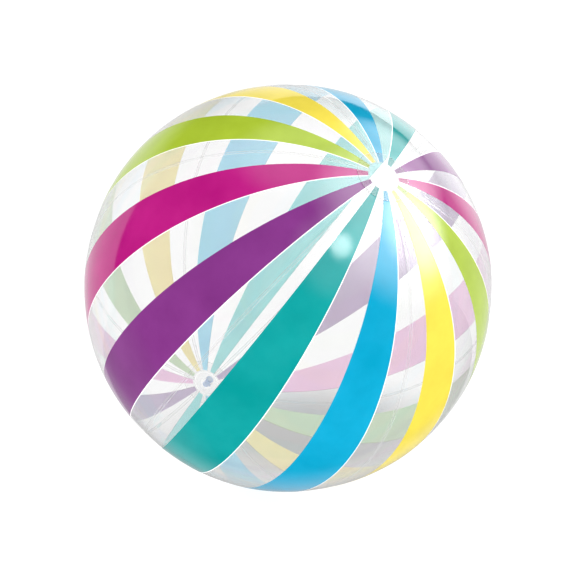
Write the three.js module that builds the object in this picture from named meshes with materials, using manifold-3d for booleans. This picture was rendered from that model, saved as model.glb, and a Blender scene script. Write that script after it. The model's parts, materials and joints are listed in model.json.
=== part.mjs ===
// An inflatable beach ball, blown up: six clear vinyl panels lapped and welded into a sphere, a round
// patch over each pole, and a push-in valve with a tethered plug and a check flap in one of the patches.
// Millimetres, +Z up, origin at the centre of the ball. Everything is built about the pole axis, with
// the valve at its +Z end, and then turned as the ball lies: the valve low at the back.
import * as THREE from 'three'
import { mergeVertices } from 'three/addons/utils/BufferGeometryUtils.js'
import Module from 'manifold-3d'

const wasm = await Module()
wasm.setup()

// the ball
const ballRadius = 340
const filmThickness = 0.3
const weldGap = 0.3 // left between films that are welded on the real ball
const panelCount = 6
const lapHalfWidth = 3
const lapClearance = 0.5
const joggleWidth = 2
const tipRadius = 24 // the panels stop this far from the pole axis
const rowCount = 18
const columnCount = 6

// how the ball lies
const valveBelowHorizontal = 40
const seamTurn = 31.3 // from the +X side to the first seam, about the pole axis

// the patches over the poles
const patchRadius = 45
const patchSegments = 30
const patchSteps = 3
const patchInside = ballRadius + filmThickness + 2 * weldGap // over the lapped seams
const valveHoleRadius = 10.5

// the valve, with heights measured outward from the ball's surface
const flangeOuterRadius = 22
const flangeThickness = 1
const flangeTop = 0.6
const mouthHeight = 2.5
const stemLength = 18
const stemRadius = 5.2
const boreRadius = 4
const boreSegments = 24
const collarRadius = 6.5
const collarThickness = 1.2
const webThickness = 0.7
const webTopRadius = 10.1
const webTopHeight = 0.2
const webFoot = 0.5 // above the stem's inner end
const lugReach = 9.2
const lugWidth = 5
const lugThickness = 1.4
const lugDrop = 0.3 // below the mouth
const pieceGap = 0.3
const plugHeadRadius = 5.6
const plugHeadThickness = 1.6
const plugShankLength = 5
const plugShankRoot = 3.3
const plugShankTip = 2.2
const strapThickness = 0.8
const strapWidth = 4
const strapStart = plugHeadRadius + pieceGap
const flapRadius = 4.8
const flapThickness = 0.4
const flapTabReach = 6
const flapTabWidth = 3

const mergeTolerance = 1e-4 // between points that count as one

const degrees = THREE.MathUtils.degToRad

function vinyl(color, roughness, opacity) {
  return new THREE.MeshStandardMaterial({ color, roughness, metalness: 0, opacity, transparent: true })
}

const clearVinyl = vinyl(0xeef4f6, 0.15, 0.35)
const valveVinyl = vinyl(0xbcd8ea, 0.3, 0.8)

// ---- geometry helpers ----

// A curved sheet as one closed body. outer(i, j) and inner(i, j) give its two skins on a grid of
// rows x columns points, and a strip round the edge joins them.
function sheetGeometry(rows, columns, outer, inner) {
  const positions = []
  const index = []
  const skin = rows * columns
  for (const side of [outer, inner]) {
    for (let i = 0; i < rows; i++) {
      for (let j = 0; j < columns; j++) positions.push(...side(i, j).toArray())
    }
  }
  const at = (i, j) => i * columns + j
  const quad = (a, b, c, d) => index.push(a, b, c, a, c, d)
  for (let i = 0; i < rows - 1; i++) {
    for (let j = 0; j < columns - 1; j++) {
      const [a, b, c, d] = [at(i, j), at(i + 1, j), at(i + 1, j + 1), at(i, j + 1)]
      quad(a, b, c, d)
      quad(skin + a, skin + d, skin + c, skin + b)
    }
  }
  const edge = []
  for (let i = 0; i < rows - 1; i++) edge.push(at(i, 0))
  for (let j = 0; j < columns - 1; j++) edge.push(at(rows - 1, j))
  for (let i = rows - 1; i > 0; i--) edge.push(at(i, columns - 1))
  for (let j = columns - 1; j > 0; j--) edge.push(at(0, j))
  edge.forEach((from, k) => {
    const to = edge[(k + 1) % edge.length]
    quad(to, from, skin + from, skin + to)
  })
  const geometry = new THREE.BufferGeometry()
  geometry.setAttribute('position', new THREE.Float32BufferAttribute(positions, 3))
  geometry.setIndex(index)
  return geometry
}

// A profile of [radius, height] points turned about the pole axis.
function turned(profile, segments = boreSegments) {
  const closed = profile[0][0] === 0 ? profile : [...profile, profile[0]]
  const geometry = new THREE.LatheGeometry(closed.map(([r, h]) => new THREE.Vector2(r, h)), segments)
  return geometry.rotateX(Math.PI / 2)
}

// [radius, height] points of an arc that follows the ball at a given distance from its centre.
function ballArc(sphereRadius, fromRadius, toRadius, steps) {
  return Array.from({ length: steps + 1 }, (_, k) => {
    const r = THREE.MathUtils.lerp(fromRadius, toRadius, k / steps)
    return [r, Math.sqrt(sphereRadius ** 2 - r ** 2)]
  })
}

function box(xFrom, xTo, width, zFrom, zTo) {
  const geometry = new THREE.BoxGeometry(xTo - xFrom, width, zTo - zFrom)
  return geometry.translate((xFrom + xTo) / 2, 0, (zFrom + zTo) / 2)
}

function solid(geometry) {
  const bare = new THREE.BufferGeometry()
  bare.setAttribute('position', geometry.getAttribute('position').clone())
  bare.setIndex(geometry.getIndex().clone())
  const merged = mergeVertices(bare, mergeTolerance)
  return new wasm.Manifold(new wasm.Mesh({
    numProp: 3,
    vertProperties: new Float32Array(merged.getAttribute('position').array),
    triVerts: new Uint32Array(merged.getIndex().array),
  }))
}

function joined(first, second) {
  const mesh = solid(first).add(solid(second)).getMesh()
  const geometry = new THREE.BufferGeometry()
  geometry.setAttribute('position', new THREE.Float32BufferAttribute(mesh.vertProperties, 3))
  geometry.setIndex(Array.from(mesh.triVerts))
  return geometry
}

// ---- the ball ----

// One panel runs from pole to pole between two seams. Its first edge is stepped up to lie over the
// plain second edge of the panel before it.
function panelGeometry() {
  const firstRow = Math.asin(tipRadius / ballRadius)
  const seamToSeam = 2 * Math.PI / panelCount
  const lift = filmThickness + weldGap
  const overLap = [
    { offset: -lapHalfWidth, lift },
    { offset: lapHalfWidth + lapClearance, lift },
    { offset: lapHalfWidth + lapClearance + joggleWidth, lift: 0 },
  ]
  const underLap = [
    { offset: -lapHalfWidth - lapClearance, lift: 0 },
    { offset: lapHalfWidth, lift: 0 },
  ]
  const polarAngle = (i) => THREE.MathUtils.lerp(firstRow, Math.PI - firstRow, i / (rowCount - 1))

  // longitude and lift of each column, on a row this far from the pole axis
  function column(j, axisDistance) {
    if (j < overLap.length) return [overLap[j].offset / axisDistance, overLap[j].lift]
    const k = j - overLap.length - columnCount + 1
    if (k >= 0) return [seamToSeam + underLap[k].offset / axisDistance, underLap[k].lift]
    const from = overLap.at(-1).offset / axisDistance
    const to = seamToSeam + underLap[0].offset / axisDistance
    return [THREE.MathUtils.lerp(from, to, (j - overLap.length + 1) / columnCount), 0]
  }

  const skin = (depth) => (i, j) => {
    const polar = polarAngle(i)
    const [longitude, lifted] = column(j, ballRadius * Math.sin(polar))
    return new THREE.Vector3().setFromSphericalCoords(ballRadius + lifted - depth, polar, longitude)
  }
  const columns = overLap.length + columnCount - 1 + underLap.length
  const geometry = sheetGeometry(rowCount, columns, skin(0), skin(filmThickness))
  // spherical coordinates have their pole on +Y and longitude from +Z: bring them to +Z and +X
  return geometry.rotateX(Math.PI / 2).rotateZ(Math.PI / 2)
}

function patchGeometry(holeRadius) {
  const inner = ballArc(patchInside, holeRadius, patchRadius, patchSteps)
  const outer = ballArc(patchInside + filmThickness, patchRadius, holeRadius, patchSteps)
  return turned([...inner, ...outer], patchSegments)
}

// ---- the valve ----

const surface = ballRadius

function flangeGeometry() {
  const outside = surface + flangeTop
  const bottom = ballArc(outside - flangeThickness, valveHoleRadius, flangeOuterRadius, 1)
  const top = ballArc(outside, flangeOuterRadius, valveHoleRadius, 1)
  return turned([...bottom, ...top])
}

const stemEnd = surface + mouthHeight - stemLength

// The soft funnel that joins the flange to the collar at the stem's inner end.
function webGeometry() {
  const top = surface + webTopHeight
  const bottomRadius = collarRadius + pieceGap
  return turned([
    [bottomRadius, stemEnd + webFoot],
    [bottomRadius + webThickness, stemEnd + webFoot],
    [webTopRadius, top],
    [webTopRadius - webThickness, top],
  ])
}

// The tube that takes the pump, with a collar at its inner end and a lug for the strap at its mouth.
function stemGeometry() {
  const mouth = surface + mouthHeight
  const tube = turned([
    [boreRadius, stemEnd],
    [collarRadius, stemEnd],
    [collarRadius, stemEnd + collarThickness],
    [stemRadius, stemEnd + collarThickness],
    [stemRadius, mouth],
    [boreRadius, mouth],
  ])
  const lugTop = mouth - lugDrop
  const lug = box((stemRadius + boreRadius) / 2, lugReach, lugWidth, lugTop - lugThickness, lugTop)
  return joined(tube, lug)
}

function plugGeometry() {
  const headBottom = surface + mouthHeight + pieceGap
  return turned([
    [0, headBottom - plugShankLength],
    [plugShankTip, headBottom - plugShankLength],
    [plugShankRoot, headBottom],
    [plugHeadRadius, headBottom],
    [plugHeadRadius, headBottom + plugHeadThickness],
    [0, headBottom + plugHeadThickness],
  ])
}

function strapGeometry() {
  const bottom = surface + mouthHeight + pieceGap
  return box(strapStart, lugReach, strapWidth, bottom, bottom + strapThickness)
}

// A thin disc that lies across the stem's inner end, with a tab on the side away from the strap.
function flapGeometry() {
  const top = stemEnd - pieceGap
  const bottom = top - flapThickness
  const disc = turned([[0, bottom], [flapRadius, bottom], [flapRadius, top], [0, top]])
  const tab = box(-flapTabReach, -flapRadius / 2, flapTabWidth, bottom, top)
  return joined(disc, tab)
}

// ---- the assembly ----

const ball = new THREE.Group()
const poleAxis = new THREE.Group()
const aboutPole = new THREE.Group()
poleAxis.rotation.x = -degrees(90 + valveBelowHorizontal)
aboutPole.rotation.z = degrees(seamTurn)
ball.add(poleAxis)
poleAxis.add(aboutPole)

function add(name, geometry, material) {
  const mesh = new THREE.Mesh(geometry, material)
  mesh.name = name
  aboutPole.add(mesh)
  return mesh
}

for (let k = 0; k < panelCount; k++) {
  const panel = add(`panel_${k + 1}`, panelGeometry(), clearVinyl)
  panel.rotation.z = 2 * Math.PI * k / panelCount
}
add('pole_patch_valve', patchGeometry(valveHoleRadius), clearVinyl)
add('pole_patch_plain', patchGeometry(0), clearVinyl).rotation.x = Math.PI
add('valve_flange', flangeGeometry(), valveVinyl)
add('valve_web', webGeometry(), valveVinyl)
add('valve_stem', stemGeometry(), valveVinyl)
add('valve_plug', plugGeometry(), valveVinyl)
add('valve_strap', strapGeometry(), valveVinyl)
add('valve_flap', flapGeometry(), valveVinyl)

export default ball
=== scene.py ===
"""An inflated clear beach ball with printed stripes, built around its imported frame.

Every shape is worked out about the pole axis, which is the valve's slide axis: longitude 0 is the seam
that the plug's strap lies on, and the polar angle is measured from the valve. Lengths are in metres.
"""

import json
import math

import bpy
import numpy as np
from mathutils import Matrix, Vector


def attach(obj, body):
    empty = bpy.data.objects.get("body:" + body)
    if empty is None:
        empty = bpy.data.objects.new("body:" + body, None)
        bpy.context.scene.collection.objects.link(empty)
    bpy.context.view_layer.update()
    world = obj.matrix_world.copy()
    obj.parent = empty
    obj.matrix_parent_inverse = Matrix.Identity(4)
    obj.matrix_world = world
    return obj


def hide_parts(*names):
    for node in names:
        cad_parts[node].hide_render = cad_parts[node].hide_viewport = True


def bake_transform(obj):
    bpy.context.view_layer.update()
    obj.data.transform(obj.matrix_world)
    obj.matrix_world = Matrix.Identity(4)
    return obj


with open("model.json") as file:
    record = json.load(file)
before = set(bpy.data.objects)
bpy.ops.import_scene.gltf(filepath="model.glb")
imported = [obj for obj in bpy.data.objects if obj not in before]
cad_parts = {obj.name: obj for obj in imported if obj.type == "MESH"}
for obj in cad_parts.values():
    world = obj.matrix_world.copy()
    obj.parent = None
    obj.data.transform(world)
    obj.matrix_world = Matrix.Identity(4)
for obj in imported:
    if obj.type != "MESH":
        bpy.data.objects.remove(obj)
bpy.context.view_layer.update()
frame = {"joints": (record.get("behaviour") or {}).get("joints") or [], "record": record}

MM = 0.001

# ---- what the frame says ----

JOINTS = {j["name"]: j for j in frame["joints"]}
MOUNTS = {m["name"]: m for m in frame["record"]["mounts"]}
RADIUS = Vector(MOUNTS["floor_contact"]["pos_m"]).length
POLE = Vector(JOINTS["valve_slide"]["axis"]).normalized()
HINGE = Vector(JOINTS["plug_hinge"]["pos_m"])
STRAP_SIDE = (HINGE - POLE * HINGE.dot(POLE)).normalized()
ACROSS = POLE.cross(STRAP_SIDE)
BASIS = np.array([STRAP_SIDE, ACROSS, POLE])

# ---- driving sizes ----

PANELS = 6
STRIPES = 12
STRIPE_WIDTH = math.radians(14.7)
TIP_RADIUS = 24 * MM
STRIPE_TIP_RADIUS = 27 * MM
FILM = 0.3 * MM
LAP_HALF = 2.6 * MM
UNSQUEEZED = 4 * MM  # what is this close to a seam keeps its place where the panel is narrow
LAP_GAP = 0.05 * MM
LAP_SPARE = 0.5 * MM  # how far the upper film stays up past the lower one's edge
EDGE_LINE = 0.8 * MM  # the welded edge of a film, which shows as a fine line
PATCH_RADIUS = 45 * MM
PATCH_LIFT = 2 * FILM + 0.15 * MM  # over the laps
PATCH_ROUNDING = 0.1 * MM
PATCH_RING_STEP = 2.5 * MM
PATCH_FAN = 0.6 * MM  # radius of the small fan that closes the plain patch
VALVE_HOLE = 10.5 * MM
UNDERPRINT_AT = 0.08 * MM
COLOUR_AT = 0.16 * MM
INK = 0.03 * MM
GROUND_MARGIN = 0.5 * MM
MISREGISTER = 0.9 * MM  # the ink sits this far to one side of its white ground
PAINTED_SHINE_THROUGH = 0.27  # painted glow: how brightly the print's inner side shines by itself, standing in for the light that comes through the print from outside
ROWS = 260
FREE_COLUMNS = 26  # of a panel, between the bands beside its two seams
BAND_OFFSETS = (4.6, 7.0, 10.0, 14.0, 19.0)  # mm from the seam, in those bands beyond the lap
BAND_ROOM = 24 * MM  # a band is squeezed where half of the panel is narrower than this
STRIPE_COLUMNS = 15
PATCH_SEGMENTS = 180

# how the blown-up film leaves the true sphere
CROWN = 0.9 * MM  # in the middle of each panel
SEAM_DIP = 0.5 * MM
SEAM_DIP_REACH = 14 * MM
PUCKER_DEPTH = 0.04 * MM
PUCKER_EXTRA = 0.02 * MM  # more at the poles
PUCKER_LENGTH = 26 * MM
PUCKER_REACH = 20 * MM  # from the seam
PUCKER_DRIFTS = (0.11, 0.047, 0.021)  # m of seam for a radian of each slow wave that makes them uneven
PUCKER_SHIFT = 1.7  # radians, by which those waves shift them
PUCKER_SWELL = 0.4  # the share by which those waves deepen them
WAVE_COUNT = 14
WAVE_SPAN = (70, 170)  # shortest and longest, mm
WAVE_HEIGHT = 0.055 * MM
RIM_PUCKER = 0.06 * MM
RIM_PUCKERS = 17  # round a patch
RIM_SHIFT = 3  # radians, so that they aren't evenly spaced
RIM_MIDDLE = 50 * MM
RIM_REACH = 22 * MM

CAMERA_AZIMUTH = math.radians(-34.6)
CAMERA_ELEVATION = math.radians(11.17)
CAMERA_DISTANCE = 9.3 * RADIUS
SENSOR = 36
CLIP_END = 500
BALL_SHARE = 0.7071  # of the picture's width, at the outline

# the studio: radiances, with white at 1
WHITE_LIGHT = 1.3  # what falls on the ball
WHITE_BEHIND = 1.02  # what is seen past it and through it
DARK_STUDIO = 0.02
INSIDE_MIRROR = 0.85  # what the inside of the film mirrors
FLOOR_HALF_SIDE = 60
FLOOR_TONE = 0.08  # its own colour, kept dark so that the ball throws no tint on it
FLOOR_GLOW = 0.97  # its even light
FLOOR_BOUNCE = 1.4  # what the floor throws up at the ball
PAINTED_SHADE = 0.55  # how much darker the floor's glow is painted, through the film, as a soft shadow of the ball behind it
PAINTED_SHADE_PLACE = (0.12, 1.0)  # the painted shadow's middle, to the right of the ball and behind it, in ball radii
PAINTED_SHADE_SIZE = (1.05, 1.5)  # its half width and half depth, in ball radii
PAINTED_SHADE_CORE = 0.2  # the share of that size in which it is full

# the backdrop, in ball radii as seen from the front: how far behind the ball, and its (right, up) outline
BACKDROP_BEHIND = 5.9
BACKDROP = [(-16.5, -2.0), (30.0, -2.0), (30.0, 5.8), (1.5, 5.8), (-3.0, 11.5), (-14.2, 11.5)]
BACKDROP_RADIANCE = 0.88
LEFT_FADE = (1.0, 5.0)  # heights between which its left side goes dark, at the middle
LEFT_FADE_SLOPE = 0.6  # and how much higher they are for each radius farther left
RIGHT_FADE = (-3.0, 0.0)  # from dark to lit, left to right
# a brighter part of it: place, added radiance, and the distances at which it ends and is full
BACKDROP_LIT_SPOT = ((4.3, 4.5), 0.9, 4.5, 1.5)

# lamps: (right, up, towards the camera), radiance, and the angles at which it ends and is full
LAMPS = [
    ((0.894, 0.423, 0.149), 9.0, 25, 3),
    ((0.80, 0.53, 0.28), 5.9, 44, 12),
    ((0.12, 0.97, 0.20), 1.5, 33, 11),
    ((0.60, 0.71, -0.34), 3.3, 24, 6),
    ((0.465, 0.39, 0.795), 12.0, 8, 1),
    ((0.41, 0.29, 0.865), 1.3, 26, 6),
    ((-0.75, -0.39, -0.53), 0.35, 36, 8),
    ((0.0, -0.30, -0.954), 0.52, 42, 6),  # the pale floor far behind
]

# colours round the ball, in order of longitude: (name, degrees that the print sits off the middle of its
# half panel, printed side, side seen from inside)
INKS = [
    ("green", -0.2, (0.36, 0.49, 0.030), (0.61, 0.72, 0.53)),
    ("yellow", -0.3, (0.80, 0.655, 0.075), (0.90, 0.80, 0.46)),
    ("blue", -0.15, (0.0, 0.335, 0.545), (0.41, 0.71, 0.85)),
    ("teal", -0.25, (0.0, 0.305, 0.30), (0.38, 0.73, 0.73)),
    ("purple", -0.95, (0.195, 0.028, 0.204), (0.55, 0.45, 0.60)),
    ("magenta", -0.9, (0.43, 0.006, 0.185), (0.88, 0.60, 0.78)),
]


# ---- the shape of the skin ----

rng = np.random.default_rng(7)
WAVE_DIRECTIONS = rng.normal(size=(WAVE_COUNT, 3))
WAVE_DIRECTIONS /= np.linalg.norm(WAVE_DIRECTIONS, axis=1)[:, None]
WAVE_LENGTHS = rng.uniform(*WAVE_SPAN, WAVE_COUNT) * MM
WAVE_PHASES = rng.uniform(0, 2 * math.pi, WAVE_COUNT)
PUCKER_PHASES = rng.uniform(0, 2 * math.pi, (PANELS, 3))


def relief(polar, longitude):
    """How far the blown-up film stands from the true sphere: crowned panels, seams that pull in,
    puckers across the seams and round the patches, and a slow waviness."""
    seam_turn = 2 * math.pi / PANELS
    seam = np.round(longitude / seam_turn).astype(int) % PANELS
    off_seam = (longitude / seam_turn - np.round(longitude / seam_turn)) * seam_turn
    axis_distance = RADIUS * np.sin(polar)
    from_seam = np.abs(off_seam) * axis_distance
    along = RADIUS * polar

    crown = CROWN * (0.5 - 0.5 * np.cos(off_seam * PANELS)) * np.sin(polar)
    dip = -SEAM_DIP * np.exp(-((from_seam / SEAM_DIP_REACH) ** 2)) * np.sin(polar)

    drifts = enumerate(PUCKER_DRIFTS)
    warp = sum(np.sin(along / length + PUCKER_PHASES[seam, k]) for k, length in drifts)
    depth = PUCKER_DEPTH + PUCKER_EXTRA * np.cos(polar) ** 2
    puckers = depth * np.cos(2 * math.pi * along / PUCKER_LENGTH + PUCKER_SHIFT * warp)
    puckers *= np.exp(-from_seam / PUCKER_REACH) * (1.0 + PUCKER_SWELL * warp)

    direction = np.stack(
        [np.sin(polar) * np.cos(longitude), np.sin(polar) * np.sin(longitude), np.cos(polar)], -1
    )
    slow = np.zeros_like(polar)
    for way, length, phase in zip(WAVE_DIRECTIONS, WAVE_LENGTHS, WAVE_PHASES):
        slow += np.cos(2 * math.pi * RADIUS * (direction @ way) / length + phase)
    slow *= WAVE_HEIGHT

    rim = np.exp(-(((axis_distance - RIM_MIDDLE) / RIM_REACH) ** 2))
    radial = RIM_PUCKER * np.cos(RIM_PUCKERS * longitude + RIM_SHIFT * np.cos(2 * longitude)) * rim
    return crown + dip + puckers + slow + radial


def skin(polar, longitude, offset):
    """Points of the ball's skin, offset outward."""
    polar, longitude, offset = np.broadcast_arrays(polar, longitude, offset)
    r = RADIUS + relief(polar, longitude) + offset
    ring = r * np.sin(polar)
    own = np.stack([ring * np.cos(longitude), ring * np.sin(longitude), r * np.cos(polar)], -1)
    return own @ BASIS


def polar_rows(tip):
    """Polar angles from one pole's tip circle to the other's."""
    first = math.asin(tip / RADIUS)
    return np.linspace(first, math.pi - first, ROWS)


# ---- mesh building ----


def new_piece(name, points, faces, materials, face_material=None, sharp=40):
    """A smooth-shaded mesh object, with sharp edges above the given angle in degrees."""
    mesh = bpy.data.meshes.new(name)
    mesh.from_pydata(np.asarray(points).reshape(-1, 3).tolist(), [], faces)
    for material in materials:
        mesh.materials.append(material)
    if face_material is not None:
        mesh.polygons.foreach_set("material_index", np.asarray(face_material, np.int32))
    mesh.polygons.foreach_set("use_smooth", np.ones(len(mesh.polygons), bool))
    mesh.set_sharp_from_angle(angle=math.radians(sharp))
    mesh.update()
    piece = bpy.data.objects.new(name, mesh)
    bpy.context.scene.collection.objects.link(piece)
    return piece


def sheet_faces(rows, columns, start=0):
    """Faces of a closed sheet: an outer grid, an inner grid after it, and the strip round the edge."""
    grid = rows * columns
    i, j = np.meshgrid(np.arange(rows - 1), np.arange(columns - 1), indexing="ij")
    a = (i * columns + j).ravel() + start
    outer = np.stack([a, a + columns, a + columns + 1, a + 1], -1)
    inner = outer[:, ::-1] + grid
    edge = [k * columns for k in range(rows - 1)]
    edge += [(rows - 1) * columns + k for k in range(columns - 1)]
    edge += [k * columns + columns - 1 for k in range(rows - 1, 0, -1)]
    edge += list(range(columns - 1, 0, -1))
    edge = np.array(edge) + start
    after = np.roll(edge, -1)
    strip = np.stack([after, edge, edge + grid, after + grid], -1)
    return outer, inner, strip


# ---- materials ----


class Nodes:
    """A small helper for the node tree of a material or a world: add(kind, inputs...) makes a node and
    links or sets its inputs."""

    def __init__(self, owner):
        self.owner = owner
        owner.use_nodes = True
        self.tree = owner.node_tree
        self.tree.nodes.clear()
        self.coordinates = self.add("TexCoord").outputs

    def add(self, kind, settings=None, **inputs):
        node = self.tree.nodes.new("ShaderNode" + kind)
        for key, value in (settings or {}).items():
            setattr(node, key, value)
        for key, value in inputs.items():
            self.feed(node.inputs[key.replace("_", " ")], value)
        return node

    def feed(self, socket, value):
        if isinstance(value, bpy.types.NodeSocket):
            self.tree.links.new(value, socket)
        else:
            socket.default_value = value

    def noise(self, scale, detail=3.0):
        where = self.coordinates["Object"]
        return self.add("TexNoise", Vector=where, Scale=scale, Detail=detail, Roughness=0.55).outputs["Fac"]

    def map_range(self, kind, value, start, end, low, high):
        range_ = {"From_Min": start, "From_Max": end, "To_Min": low, "To_Max": high}
        node = self.add("MapRange", {"interpolation_type": kind}, Value=value, **range_)
        return node.outputs["Result"]

    def between(self, noise, low, high):
        """From low to high over the range that a noise mostly keeps to."""
        return self.map_range("LINEAR", noise, 0.3, 0.7, low, high)

    def ramp(self, value, start, end, low, high):
        """From low to high in an S curve, as the value goes from start to end."""
        return self.map_range("SMOOTHSTEP", value, start, end, low, high)

    def choose(self, factor, first, second):
        """The first number where the factor is 0 and the second where it is 1."""
        node = self.add("Mix", {"data_type": "FLOAT"})
        for socket, value in zip((node.inputs[0], node.inputs[2], node.inputs[3]), (factor, first, second)):
            self.feed(socket, value)
        return node.outputs[0]

    def outside_ball(self):
        """1 for light that comes by way of the ball's outside, 0 for what is mirrored inside the film."""
        return self.maths("LESS_THAN", self.add("LightPath").outputs["Transparent Depth"], 1.0)

    def blend(self, factor, first, second):
        node = self.add("MixShader", Fac=factor)
        self.feed(node.inputs[1], first)
        self.feed(node.inputs[2], second)
        return node.outputs[0]

    def colour(self, factor, first, second):
        node = self.add("Mix", {"data_type": "RGBA"})
        self.feed(node.inputs[0], factor)
        self.feed(node.inputs[6], (*first, 1))
        self.feed(node.inputs[7], (*second, 1))
        return node.outputs[2]

    def maths(self, operation, *values):
        node = self.add("Math", {"operation": operation})
        for socket, value in zip(node.inputs, values):
            self.feed(socket, value)
        return node.outputs[0]

    def measure(self, operation, *vectors):
        """The length of one vector, or the distance or product of two."""
        node = self.add("VectorMath", {"operation": operation})
        for socket, vector in zip(node.inputs, vectors):
            self.feed(socket, vector)
        return node.outputs["Value"]

    def bump(self, height, strength, distance):
        node = self.add("Bump", Height=height, Strength=strength, Distance=distance)
        return node.outputs["Normal"]

    def mirror_share(self, normal):
        """What a clear surface mirrors at each angle, from 4% face on to all of it edge on."""
        facing = self.add("LayerWeight", Blend=0.5, Normal=normal).outputs["Facing"]
        steep = self.maths("POWER", facing, 5.0)
        return self.maths("MULTIPLY_ADD", steep, 0.96, 0.04)

    def finish(self, shader, kind="OutputMaterial"):
        output = self.add(kind)
        self.tree.links.new(shader, output.inputs["Surface"])
        return self.owner


def film_material(name, haze_low, haze_high, gloss_low, gloss_high, tone=0.977, haze_tone=0.88):
    """Clear vinyl film: it mirrors by angle, lets the rest through, and has a thin uneven haze."""
    n = Nodes(bpy.data.materials.new(name))
    ripple = n.bump(n.noise(22.0, 2.0), 0.12, 0.4 * MM)
    clear = n.add("BsdfTransparent", Color=(tone, tone, tone, 1)).outputs[0]
    roughness = n.between(n.noise(60.0), gloss_low, gloss_high)
    gloss = n.add("BsdfGlossy", Color=(1, 1, 1, 1), Roughness=roughness, Normal=ripple).outputs[0]
    haze = n.add("BsdfDiffuse", Color=(haze_tone, haze_tone, haze_tone, 1), Normal=ripple).outputs[0]
    body = n.blend(n.mirror_share(ripple), clear, gloss)
    hazy = n.between(n.noise(9.0, 5.0), haze_low, haze_high)
    return n.finish(n.blend(hazy, body, haze))


def ink_material(name, colour):
    """Printed ink under a gloss: slightly uneven in density, with fine print grain."""
    n = Nodes(bpy.data.materials.new(name))
    density = n.between(n.noise(14.0, 5.0), 0.0, 1.0)
    grain = n.between(n.noise(900.0, 2.0), -0.12, 0.12)
    tone = n.maths("ADD", density, grain)
    darker = tuple(0.90 * c for c in colour)
    lighter = tuple(min(1.0, 1.06 * c + 0.006) for c in colour)
    ripple = n.bump(n.noise(24.0, 2.0), 0.12, 0.4 * MM)
    shader = n.add(
        "BsdfPrincipled",
        Base_Color=n.colour(tone, darker, lighter),
        Roughness=n.between(n.noise(45.0), 0.06, 0.11),
        Normal=ripple,
    )
    return n.finish(shader.outputs[0])


def underprint_material(name, colour):
    """The print's inner side, where a white ground shows the ink through it as a pale tint, with a painted
    glow in that tint standing in for the light that comes through the print.
    """
    n = Nodes(bpy.data.materials.new(name))
    density = n.between(n.noise(18.0, 5.0), 0.0, 1.0)
    darker = tuple(0.93 * c for c in colour)
    lighter = tuple(min(1.0, 1.03 * c) for c in colour)
    shader = n.add(
        "BsdfPrincipled",
        Base_Color=n.colour(density, darker, lighter),
        Roughness=n.between(n.noise(60.0), 0.45, 0.6),
    )
    # painted glow: the tint shines by itself, standing in for light coming through the print
    shader.inputs["Emission Color"].default_value = (*colour, 1)
    shader.inputs["Emission Strength"].default_value = PAINTED_SHINE_THROUGH
    return n.finish(shader.outputs[0])


def vinyl_material(name, colour, transmission):
    """Moulded soft vinyl, cloudy and slightly tinted."""
    n = Nodes(bpy.data.materials.new(name))
    cloud = n.between(n.noise(160.0, 4.0), 0.0, 1.0)
    darker = tuple(0.86 * c for c in colour)
    shader = n.add(
        "BsdfPrincipled",
        Base_Color=n.colour(cloud, darker, colour),
        Roughness=n.between(n.noise(400.0), 0.22, 0.38),
        Normal=n.bump(n.noise(700.0, 3.0), 0.15, 0.1 * MM),
    )
    shader.inputs["Transmission Weight"].default_value = transmission
    shader.inputs["IOR"].default_value = 1.52
    return n.finish(shader.outputs[0])


def floor_material():
    """A pale floor lit from itself, with a painted soft shadow of the ball that only shows through the
    film.
    """
    n = Nodes(bpy.data.materials.new("studio_floor"))
    tone = n.between(n.noise(1.3, 4.0), 0.0, 1.0)
    shader = n.add(
        "BsdfPrincipled",
        Base_Color=n.colour(tone, (0.9 * FLOOR_TONE,) * 3, (FLOOR_TONE,) * 3),
        Roughness=n.between(n.noise(30.0), 0.6, 0.75),
    )
    # painted shadow: an oval behind the ball where the floor's glow is lowered, only for rays that came
    # through the film
    right, behind = (share * RADIUS for share in PAINTED_SHADE_PLACE)
    middle = from_angles(CAMERA_AZIMUTH, 0, -behind) + from_angles(CAMERA_AZIMUTH + math.pi / 2, 0, right)
    place = n.add("Mapping", {"vector_type": "TEXTURE"}, Vector=n.coordinates["Object"])
    place.inputs["Location"].default_value = (middle.x, middle.y, -RADIUS)
    place.inputs["Rotation"].default_value = (0, 0, CAMERA_AZIMUTH)
    place.inputs["Scale"].default_value = (PAINTED_SHADE_SIZE[0] * RADIUS, PAINTED_SHADE_SIZE[1] * RADIUS, 1)
    distance = n.measure("LENGTH", place.outputs[0])
    shaded = n.ramp(distance, PAINTED_SHADE_CORE, 1.0, FLOOR_GLOW - PAINTED_SHADE, FLOOR_GLOW)
    glow = n.choose(n.outside_ball(), shaded, FLOOR_GLOW)
    bounced = n.add("LightPath").outputs["Is Diffuse Ray"]
    shader.inputs["Emission Color"].default_value = (1, 1, 1, 1)
    n.feed(shader.inputs["Emission Strength"], n.choose(bounced, glow, FLOOR_BOUNCE))
    return n.finish(shader.outputs[0])


CLEAR = film_material("clear_film", 0.006, 0.022, 0.02, 0.05)
WELD = film_material("welded_film", 0.20, 0.36, 0.12, 0.25)
CLEAR_VINYL = film_material("clear_vinyl", 0.05, 0.12, 0.08, 0.16, tone=0.998, haze_tone=0.98)
COLOURS = {name: ink_material("ink_" + name, printed) for name, _, printed, _ in INKS}
GROUNDS = {name: underprint_material("ground_" + name, inside) for name, _, _, inside in INKS}
WHITE_GROUND = underprint_material("ground_white", (0.90, 0.90, 0.90))
VINYL = vinyl_material("valve_vinyl", (0.56, 0.68, 0.93), 0.06)
FLAP_VINYL = vinyl_material("flap_vinyl", (0.76, 0.83, 0.95), 0.1)


# ---- panels ----


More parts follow.
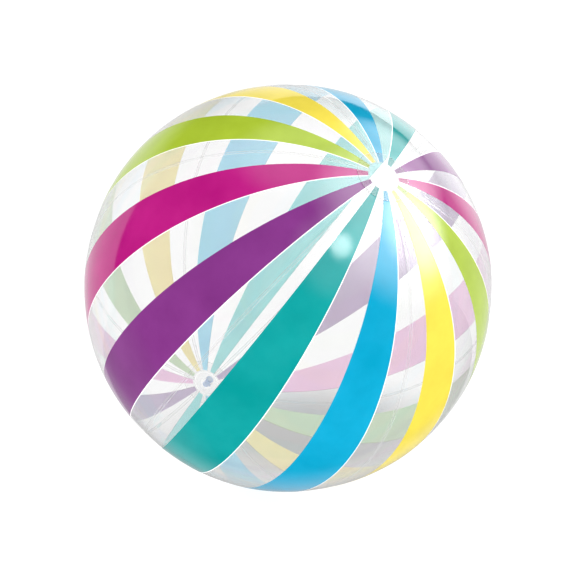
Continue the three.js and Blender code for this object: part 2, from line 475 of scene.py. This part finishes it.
def panel_columns():
    """(distance from its seam, lift) of each column near the first seam, where the panel lies on top of
    its neighbour, and near the second seam, where it lies below."""
    lift = FILM + LAP_GAP
    lifted = (-LAP_HALF, -LAP_HALF + EDGE_LINE, LAP_HALF, LAP_HALF + LAP_SPARE)
    first = [(d, lift) for d in lifted] + [(d * MM, 0.0) for d in BAND_OFFSETS]
    flat = (-LAP_HALF, LAP_HALF - EDGE_LINE, LAP_HALF)
    second = [(-d * MM, 0.0) for d in reversed(BAND_OFFSETS)] + [(d, 0.0) for d in flat]
    return first, second


def squeezed(distance, share):
    """Distances from a seam, drawn together by a share beyond the part that keeps its place."""
    beyond = np.sign(distance) * (UNSQUEEZED + (np.abs(distance) - UNSQUEEZED) * share)
    return np.where(np.abs(distance) > UNSQUEEZED, beyond, distance)


def build_panel(k):
    polar = polar_rows(TIP_RADIUS)[:, None]
    first, second = (np.array(columns) for columns in panel_columns())
    turn = 2 * math.pi / PANELS
    ring = RADIUS * np.sin(polar)

    # close to the poles the panel is narrower than its two edge bands, which shrink to fit
    fit = np.minimum(1.0, ring * turn / (2 * BAND_ROOM))
    left = squeezed(first[:, 0], fit) / ring
    right = turn + squeezed(second[:, 0], fit) / ring
    share = np.linspace(0, 1, FREE_COLUMNS + 2)[None, 1:-1]
    middle = left[:, -1:] * (1 - share) + right[:, :1] * share
    longitude = np.concatenate([left, middle, right], 1) + k * turn
    lift = np.concatenate([first[:, 1], np.zeros(FREE_COLUMNS), second[:, 1]])[None, :]

    outer = skin(polar, longitude, lift)
    inner = skin(polar, longitude, lift - FILM)
    count, columns = longitude.shape
    faces_out, faces_in, strip = sheet_faces(count, columns)
    column_of = np.tile(np.arange(columns - 1), count - 1)
    welded = (column_of == 0) | (column_of == columns - 2)
    material = np.concatenate([welded, welded, np.ones(len(strip), bool)]).astype(int)
    faces = np.concatenate([faces_out, faces_in, strip]).tolist()
    points = np.concatenate([outer.reshape(-1, 3), inner.reshape(-1, 3)])
    piece = new_piece(f"film_panel_{k + 1}", points, faces, [CLEAR, WELD], material)
    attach(piece, "ball")
    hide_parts(f"panel_{k + 1}")


# ---- printed stripes ----


def build_stripe(k):
    """Two closed layers: the white ground, tinted on its inner side by the ink, and the ink on it."""
    name, print_turn, _, _ = INKS[k % len(INKS)]
    polar = polar_rows(STRIPE_TIP_RADIUS)[:, None]
    ring = RADIUS * np.sin(polar)
    centre = (k + 0.5) * 2 * math.pi / STRIPES + math.radians(print_turn)
    across = np.linspace(-0.5, 0.5, STRIPE_COLUMNS)[None, :]
    ground = centre + across * (STRIPE_WIDTH + 2 * GROUND_MARGIN / ring)
    colour = centre + across * STRIPE_WIDTH + MISREGISTER / ring

    points, faces, material = [], [], []
    # each layer with the materials of its outer side, its inner side and its edge, as numbered below
    layers = ((ground, UNDERPRINT_AT, (2, 1, 2)), (colour, COLOUR_AT, (0, 0, 0)))
    for longitude, height, slots in layers:
        start = sum(len(p) for p in points)
        points.append(skin(polar, longitude, height + INK).reshape(-1, 3))
        points.append(skin(polar, longitude, height).reshape(-1, 3))
        for part, slot in zip(sheet_faces(ROWS, STRIPE_COLUMNS, start), slots):
            faces.append(part)
            material.append(np.full(len(part), slot))
    piece = new_piece(
        f"stripe_{k + 1}_{name}",
        np.concatenate(points),
        np.concatenate(faces).tolist(),
        [COLOURS[name], GROUNDS[name], WHITE_GROUND],
        np.concatenate(material),
    )
    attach(piece, "ball")


# ---- turned pieces about the pole axis ----


def turned_faces(profile_count, segments, closed):
    """Quads between neighbouring rings of a profile turned all the way round."""
    steps = profile_count if closed else profile_count - 1
    i, j = np.meshgrid(np.arange(steps), np.arange(segments), indexing="ij")
    here, above = i.ravel() * segments, (i.ravel() + 1) % profile_count * segments
    j, after = j.ravel(), (j.ravel() + 1) % segments
    return np.stack([here + j, here + after, above + after, above + j], -1)


def turned_piece(name, profile, material, segments=64):
    """A closed body turned about the pole axis from [axis distance, height over the ball's surface]
    points. A profile that starts and ends on the axis is capped there by a single point."""
    profile = np.array(profile, float) * MM
    on_axis = abs(profile[0, 0]) < 1e-9
    body = profile[1:-1] if on_axis else profile
    angle = np.linspace(0, 2 * math.pi, segments, endpoint=False)
    ring = body[:, 0][:, None]
    height = np.broadcast_to(RADIUS + body[:, 1][:, None], (len(body), segments))
    own = np.stack([ring * np.cos(angle), ring * np.sin(angle), height], -1).reshape(-1, 3)
    faces = turned_faces(len(body), segments, closed=not on_axis).tolist()
    if on_axis:
        first, last = len(own), len(own) + 1
        own = np.concatenate([own, [[0, 0, RADIUS + profile[0, 1]], [0, 0, RADIUS + profile[-1, 1]]]])
        top = (len(body) - 1) * segments
        for j in range(segments):
            after = (j + 1) % segments
            faces.append([first, after, j])
            faces.append([last, top + j, top + after])
    return new_piece(name, own @ BASIS, faces, [material], sharp=50)


def build_patch(name, node, at_valve):
    """A round patch over the panels' tips, welded down in a ring at its edge. The one at the valve has a
    hole, and the other is closed at the pole by a small fan on each side."""
    weld_from = PATCH_RADIUS - EDGE_LINE
    inner_end = VALVE_HOLE if at_valve else PATCH_FAN
    steps = round((weld_from - inner_end) / PATCH_RING_STEP) + 1
    radii = np.linspace(inner_end, weld_from, steps)
    radii = np.concatenate([radii, np.linspace(weld_from, PATCH_RADIUS, 3)[1:]])
    angle = np.linspace(0, 2 * math.pi, PATCH_SEGMENTS, endpoint=False)[None, :]
    polar = np.arcsin(radii / RADIUS)[:, None]
    if not at_valve:
        polar = math.pi - polar
    rounding = np.where(radii > PATCH_RADIUS - PATCH_ROUNDING, PATCH_ROUNDING, 0.0)[:, None]
    upper = skin(polar, angle, PATCH_LIFT + FILM - rounding)
    lower = skin(polar, angle, PATCH_LIFT)
    points = np.concatenate([lower, upper[::-1]]).reshape(-1, 3)

    ring_count = 2 * len(radii)
    ring_radii = np.concatenate([radii, radii[::-1]])
    faces = turned_faces(ring_count, PATCH_SEGMENTS, closed=at_valve)
    inner_side = ring_radii[faces[:, [0, 2]] // PATCH_SEGMENTS].min(axis=1)
    welded = inner_side >= weld_from - 1e-9
    faces = faces.tolist() if at_valve else faces[:, ::-1].tolist()
    if not at_valve:
        heights = (PATCH_LIFT, PATCH_LIFT + FILM)
        middle = [skin(np.array([math.pi]), np.array([0.0]), height) for height in heights]
        low, high = len(points), len(points) + 1
        points = np.concatenate([points, *middle])
        last = (ring_count - 1) * PATCH_SEGMENTS
        for j in range(PATCH_SEGMENTS):
            after = (j + 1) % PATCH_SEGMENTS
            faces.append([low, j, after])
            faces.append([high, last + after, last + j])
        welded = np.concatenate([welded, np.zeros(2 * PATCH_SEGMENTS, bool)])
    piece = new_piece(name, points, faces, [CLEAR, WELD], welded)
    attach(piece, "ball")
    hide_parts(node)


# ---- the valve ----

# heights over the ball's surface and distances from the pole axis, in mm
MOUTH = 2.5
STEM_END = -15.5
STEM = 5.2
BORE = 4.0
BORE_MIDDLE = -6.0  # where the bore's wall has one more ring of points
COLLAR = 6.2  # and a round edge of 0.3 mm
STEM_RIBS = (-10.5, -7.0, -3.5)
LUG = (4.6, 9.2)
LUG_WIDTH = 5.0
FLANGE = (10.5, 21.8)
FLANGE_TOP = 0.6
FLANGE_BOTTOM = -0.4
FLANGE_RIDGES = (12.8, 15.6, 18.4)
WEB_HEIGHTS = (-15.0, 0.2)
WEB_INNER = 6.8
WEB_FLARE = 2.6
WEB_THICKNESS = 0.7
WEB_STEPS = 14
HEAD_BOTTOM = 2.8
HEAD_TOP = 4.4
HEAD = 5.2  # and a round edge of 0.4 mm
SHANK_END = -2.2
STRAP = (5.3, 9.2)
STRAP_STEPS = 12
STRAP_SIDES = 16
FLAP = 4.6  # and a round edge of 0.2 mm
FLAP_TOP = -15.8
FLAP_THICKNESS = 0.4
FLAP_TAB = (-6.0, -4.0)
FLAP_TAB_WIDTH = 3.0


def arc(centre_r, centre_h, radius, start, end, count=6):
    """[r, h] points of a circular arc, with angles in degrees from the outward direction."""
    angles = np.radians(np.linspace(start, end, count))
    return [[centre_r + radius * math.cos(a), centre_h + radius * math.sin(a)] for a in angles]


def sagged(r, height):
    """A height over the ball's surface at the pole, carried down its curve at distance r."""
    top = RADIUS / MM + height
    return [r, math.sqrt(top**2 - r**2) - RADIUS / MM]


def rounded_bar(name, reach, width, heights, material, bevel):
    """A bevelled bar that runs outward along the strap's side, with its sizes in mm."""
    corners = [
        [r * MM, w * MM, RADIUS + h * MM]
        for r in reach
        for w in (-width / 2, width / 2)
        for h in heights
    ]
    faces = [[0, 1, 3, 2], [4, 6, 7, 5], [0, 4, 5, 1], [2, 3, 7, 6], [0, 2, 6, 4], [1, 5, 7, 3]]
    piece = new_piece(name, np.array(corners) @ BASIS, faces, [material])
    modifier = piece.modifiers.new("bevel", "BEVEL")
    modifier.width = bevel * MM
    modifier.segments = 3
    apply_modifiers(piece)
    return piece


def apply_modifiers(piece):
    graph = bpy.context.evaluated_depsgraph_get()
    made = bpy.data.meshes.new_from_object(piece.evaluated_get(graph))
    piece.modifiers.clear()
    piece.data = made
    piece.data.polygons.foreach_set("use_smooth", np.ones(len(made.polygons), bool))
    piece.data.set_sharp_from_angle(angle=math.radians(50))


def join_into(piece, other):
    modifier = piece.modifiers.new("join", "BOOLEAN")
    modifier.operation = "UNION"
    modifier.solver = "EXACT"
    modifier.object = other
    apply_modifiers(piece)
    bpy.data.objects.remove(other)


def add_valve_piece(piece, body, node):
    if body:
        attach(piece, body)
    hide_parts(node)


def build_flange():
    """A flat ring with three fine welded ridges, which follows the ball."""
    hole, edge = FLANGE
    points = [(edge, FLANGE_TOP - 0.2), (edge - 0.4, FLANGE_TOP)]
    for r in reversed(FLANGE_RIDGES):
        points += [(r + 0.6, FLANGE_TOP), (r, FLANGE_TOP + 0.18), (r - 0.6, FLANGE_TOP)]
    points += [(hole + 0.4, FLANGE_TOP), (hole, FLANGE_TOP - 0.35)]
    bottom = [(hole, FLANGE_BOTTOM), (16.0, FLANGE_BOTTOM), (edge, FLANGE_BOTTOM)]
    profile = [sagged(r, h) for r, h in bottom + points]
    piece = turned_piece("valve_flange_ring", profile, CLEAR_VINYL, 96)
    add_valve_piece(piece, "ball", "valve_flange")


def build_web():
    """The soft funnel between the flange and the stem's inner end."""
    foot, top = WEB_HEIGHTS
    inner = []
    for k in range(WEB_STEPS + 1):
        t = k / WEB_STEPS
        inner.append([WEB_INNER + WEB_FLARE * t**1.8, foot + t * (top - foot)])
    outer = [[r + WEB_THICKNESS, h] for r, h in inner]
    piece = turned_piece("valve_web_funnel", outer + inner[::-1], CLEAR_VINYL, 72)
    add_valve_piece(piece, None, "valve_web")
    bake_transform(piece)


def build_stem():
    """The tube, with a collar at its inner end, three faint ribs, and a lug for the tether."""
    foot = STEM_END
    profile = [[BORE, foot + 0.3], [BORE + 0.3, foot], [COLLAR, foot]]
    profile += arc(COLLAR, foot + 0.6, 0.3, -60, 60, 5)
    profile += [[COLLAR - 0.1, foot + 1.2], [STEM + 0.2, foot + 1.25], [STEM, foot + 1.6]]
    for rib in STEM_RIBS:
        out = STEM + 0.18
        profile += [[STEM, rib - 0.7], [out, rib - 0.3], [out, rib + 0.3], [STEM, rib + 0.7]]
    profile += [[STEM, MOUTH - 0.4], [STEM - 0.2, MOUTH - 0.1], [STEM - 0.4, MOUTH]]
    profile += [[BORE + 0.3, MOUTH], [BORE + 0.05, MOUTH - 0.15], [BORE, MOUTH - 0.5], [BORE, BORE_MIDDLE]]
    piece = turned_piece("valve_stem_tube", profile, VINYL, 72)
    lug = rounded_bar("lug", LUG, LUG_WIDTH, (MOUTH - 1.7, MOUTH - 0.3), VINYL, 0.35)
    join_into(piece, lug)
    add_valve_piece(piece, "valve", "valve_stem")


def build_plug():
    """A stopper with a rounded bead and a dished head."""
    foot, top = SHANK_END, HEAD_TOP
    profile = [[0, foot], [1.6, foot], [2.1, foot + 0.4], [2.45, foot + 1.6], [2.75, foot + 2.4]]
    profile += [[2.6, foot + 3.0], [3.0, foot + 4.2], [3.3, HEAD_BOTTOM], [5.3, HEAD_BOTTOM]]
    profile += arc(HEAD, HEAD_BOTTOM + 0.4, 0.4, -60, 0, 4)
    profile += arc(HEAD, top - 0.4, 0.4, 0, 90, 6)
    profile += [[4.4, top], [4.1, top - 0.25], [3.6, top - 0.25], [3.3, top], [1.5, top], [0, top]]
    piece = turned_piece("valve_plug_stopper", profile, VINYL, 64)
    add_valve_piece(piece, "plug", "valve_plug")


def strap_ring(t):
    """Points round the strap at a share t of its length: a squarish section, thinner half way."""
    waist = math.sin(math.pi * t)
    r = STRAP[0] + (STRAP[1] - STRAP[0]) * t
    middle = HEAD_BOTTOM + 0.4 + 0.12 * waist
    half_width, half_thick = 2.0 - 0.35 * waist, 0.36 - 0.1 * waist
    ring = []
    for a in np.linspace(0, 2 * math.pi, STRAP_SIDES, endpoint=False):
        c, s = math.cos(a), math.sin(a)
        square = (abs(c) ** 4 + abs(s) ** 4) ** -0.25
        height = middle + half_thick * s * square
        ring.append([r * MM, half_width * c * square * MM, RADIUS + height * MM])
    return ring


def build_strap():
    """The tether: a thin tongue from the lug over the hinge line to the plug's head."""
    points = [point for t in np.linspace(0, 1, STRAP_STEPS + 1) for point in strap_ring(t)]
    faces = turned_faces(STRAP_STEPS + 1, STRAP_SIDES, closed=False).tolist()
    faces.append(list(range(STRAP_SIDES))[::-1])
    faces.append(list(range(STRAP_STEPS * STRAP_SIDES, (STRAP_STEPS + 1) * STRAP_SIDES)))
    piece = new_piece("valve_strap_tether", np.array(points) @ BASIS, faces, [VINYL], sharp=60)
    add_valve_piece(piece, None, "valve_strap")
    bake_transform(piece)


def build_flap():
    """A thin disc with a tab, which lies across the stem's inner end."""
    top, bottom = FLAP_TOP, FLAP_TOP - FLAP_THICKNESS
    edge = arc(FLAP, (top + bottom) / 2, 0.2, -70, 70, 5)
    profile = [[0, bottom], [FLAP - 0.1, bottom], *edge, [FLAP - 0.1, top], [0, top]]
    piece = turned_piece("valve_flap_disc", profile, FLAP_VINYL, 64)
    tab = rounded_bar("tab", FLAP_TAB, FLAP_TAB_WIDTH, (bottom, top), FLAP_VINYL, 0.12)
    join_into(piece, tab)
    add_valve_piece(piece, "flap", "valve_flap")


# ---- studio ----


def from_angles(azimuth, elevation, distance):
    """A place seen from the ball's centre: azimuth 0 is towards -Y, and +X is at 90 degrees."""
    level = math.cos(elevation) * distance
    return Vector((level * math.sin(azimuth), -level * math.cos(azimuth), math.sin(elevation) * distance))


def build_camera():
    camera = bpy.data.objects.new("camera", bpy.data.cameras.new("camera"))
    bpy.context.scene.collection.objects.link(camera)
    camera.location = from_angles(CAMERA_AZIMUTH, CAMERA_ELEVATION, CAMERA_DISTANCE)
    camera.rotation_euler = camera.location.to_track_quat("Z", "Y").to_euler()
    outline = math.asin(RADIUS / CAMERA_DISTANCE)
    camera.data.sensor_width = SENSOR
    camera.data.lens = SENSOR * BALL_SHARE / (2 * math.tan(outline))
    camera.data.clip_end = CLIP_END
    bpy.context.scene.camera = camera
    return camera


def in_view(camera, right, up, towards):
    """A direction given in the camera's own right, up and towards-the-camera axes."""
    turn = camera.rotation_euler.to_matrix()
    return turn @ Vector((right, up, towards)).normalized()


def stage_plane(name, corners, material):
    mesh = bpy.data.meshes.new(name)
    mesh.from_pydata([tuple(corner) for corner in corners], [], [tuple(range(len(corners)))])
    mesh.materials.append(material)
    plane = bpy.data.objects.new(name, mesh)
    bpy.context.scene.collection.objects.link(plane)
    return plane


def build_floor():
    signs = [(-1, -1), (1, -1), (1, 1), (-1, 1)]
    corners = [(x * FLOOR_HALF_SIDE, y * FLOOR_HALF_SIDE, -RADIUS) for x, y in signs]
    floor = stage_plane("floor", corners, floor_material())
    floor.visible_glossy = False  # the world has a lamp for it


def backdrop_material():
    n = Nodes(bpy.data.materials.new("studio_backdrop"))
    across, up = n.add("SeparateXYZ", Vector=n.coordinates["Object"]).outputs[:2]
    upward = n.maths("ADD", up, n.maths("MULTIPLY", across, LEFT_FADE_SLOPE))
    lit_below, dark_above = (height * RADIUS for height in LEFT_FADE)
    left_side = n.ramp(upward, lit_below, dark_above, BACKDROP_RADIANCE, 0.0)
    dark_from, lit_from = (place * RADIUS for place in RIGHT_FADE)
    right_side = n.ramp(across, dark_from, lit_from, 0.0, BACKDROP_RADIANCE)
    (x, y), added, edge, core = BACKDROP_LIT_SPOT
    from_spot = n.measure("DISTANCE", n.coordinates["Object"], (x * RADIUS, y * RADIUS, 0))
    spot = n.ramp(from_spot, core * RADIUS, edge * RADIUS, added, 0.0)
    radiance = n.maths("ADD", n.maths("MAXIMUM", left_side, right_side), spot)
    strength = n.choose(n.outside_ball(), INSIDE_MIRROR, radiance)
    return n.finish(n.add("Emission", Strength=strength).outputs[0])


def build_backdrop(camera):
    """The lit wall behind the ball, whose edges show as edges in its reflection towards the rim."""
    corners = [(x * RADIUS, y * RADIUS, 0) for x, y in BACKDROP]
    plane = stage_plane("backdrop", corners, backdrop_material())
    plane.rotation_euler = camera.rotation_euler
    plane.location = in_view(camera, 0, 0, -1) * BACKDROP_BEHIND * RADIUS
    plane.visible_camera = False
    plane.visible_diffuse = False
    plane.visible_transmission = False
    plane.visible_shadow = False


def build_world(camera):
    """Even white light, except in reflections, which see a dark studio with soft lamps in it."""
    n = Nodes(bpy.data.worlds.new("studio"))
    lamps = DARK_STUDIO
    for towards, radiance, edge, core in LAMPS:
        facing = n.measure("DOT_PRODUCT", n.coordinates["Generated"], in_view(camera, *towards))
        start, end = math.cos(math.radians(edge)), math.cos(math.radians(core))
        lamps = n.maths("ADD", n.ramp(facing, start, end, 0.0, radiance), lamps)
    path = n.add("LightPath").outputs
    mirrored = n.choose(n.outside_ball(), INSIDE_MIRROR, lamps)
    direct = n.choose(path["Is Camera Ray"], WHITE_LIGHT, WHITE_BEHIND)
    strength = n.choose(path["Is Glossy Ray"], direct, mirrored)
    light = n.add("Background", Color=(1, 1, 1, 1), Strength=strength)
    bpy.context.scene.world = n.finish(light.outputs[0], "OutputWorld")


def build_studio():
    camera = build_camera()
    build_floor()
    build_backdrop(camera)
    build_world(camera)
    scene = bpy.context.scene
    scene.view_settings.view_transform = "Standard"
    scene.cycles.transparent_max_bounces = 32


# ---- the scene ----

for index in range(PANELS):
    build_panel(index)
for index in range(STRIPES):
    build_stripe(index)
build_patch("film_patch_valve", "pole_patch_valve", at_valve=True)
build_patch("film_patch_plain", "pole_patch_plain", at_valve=False)
build_flange()
build_web()
build_stem()
build_plug()
build_strap()
build_flap()
build_studio()
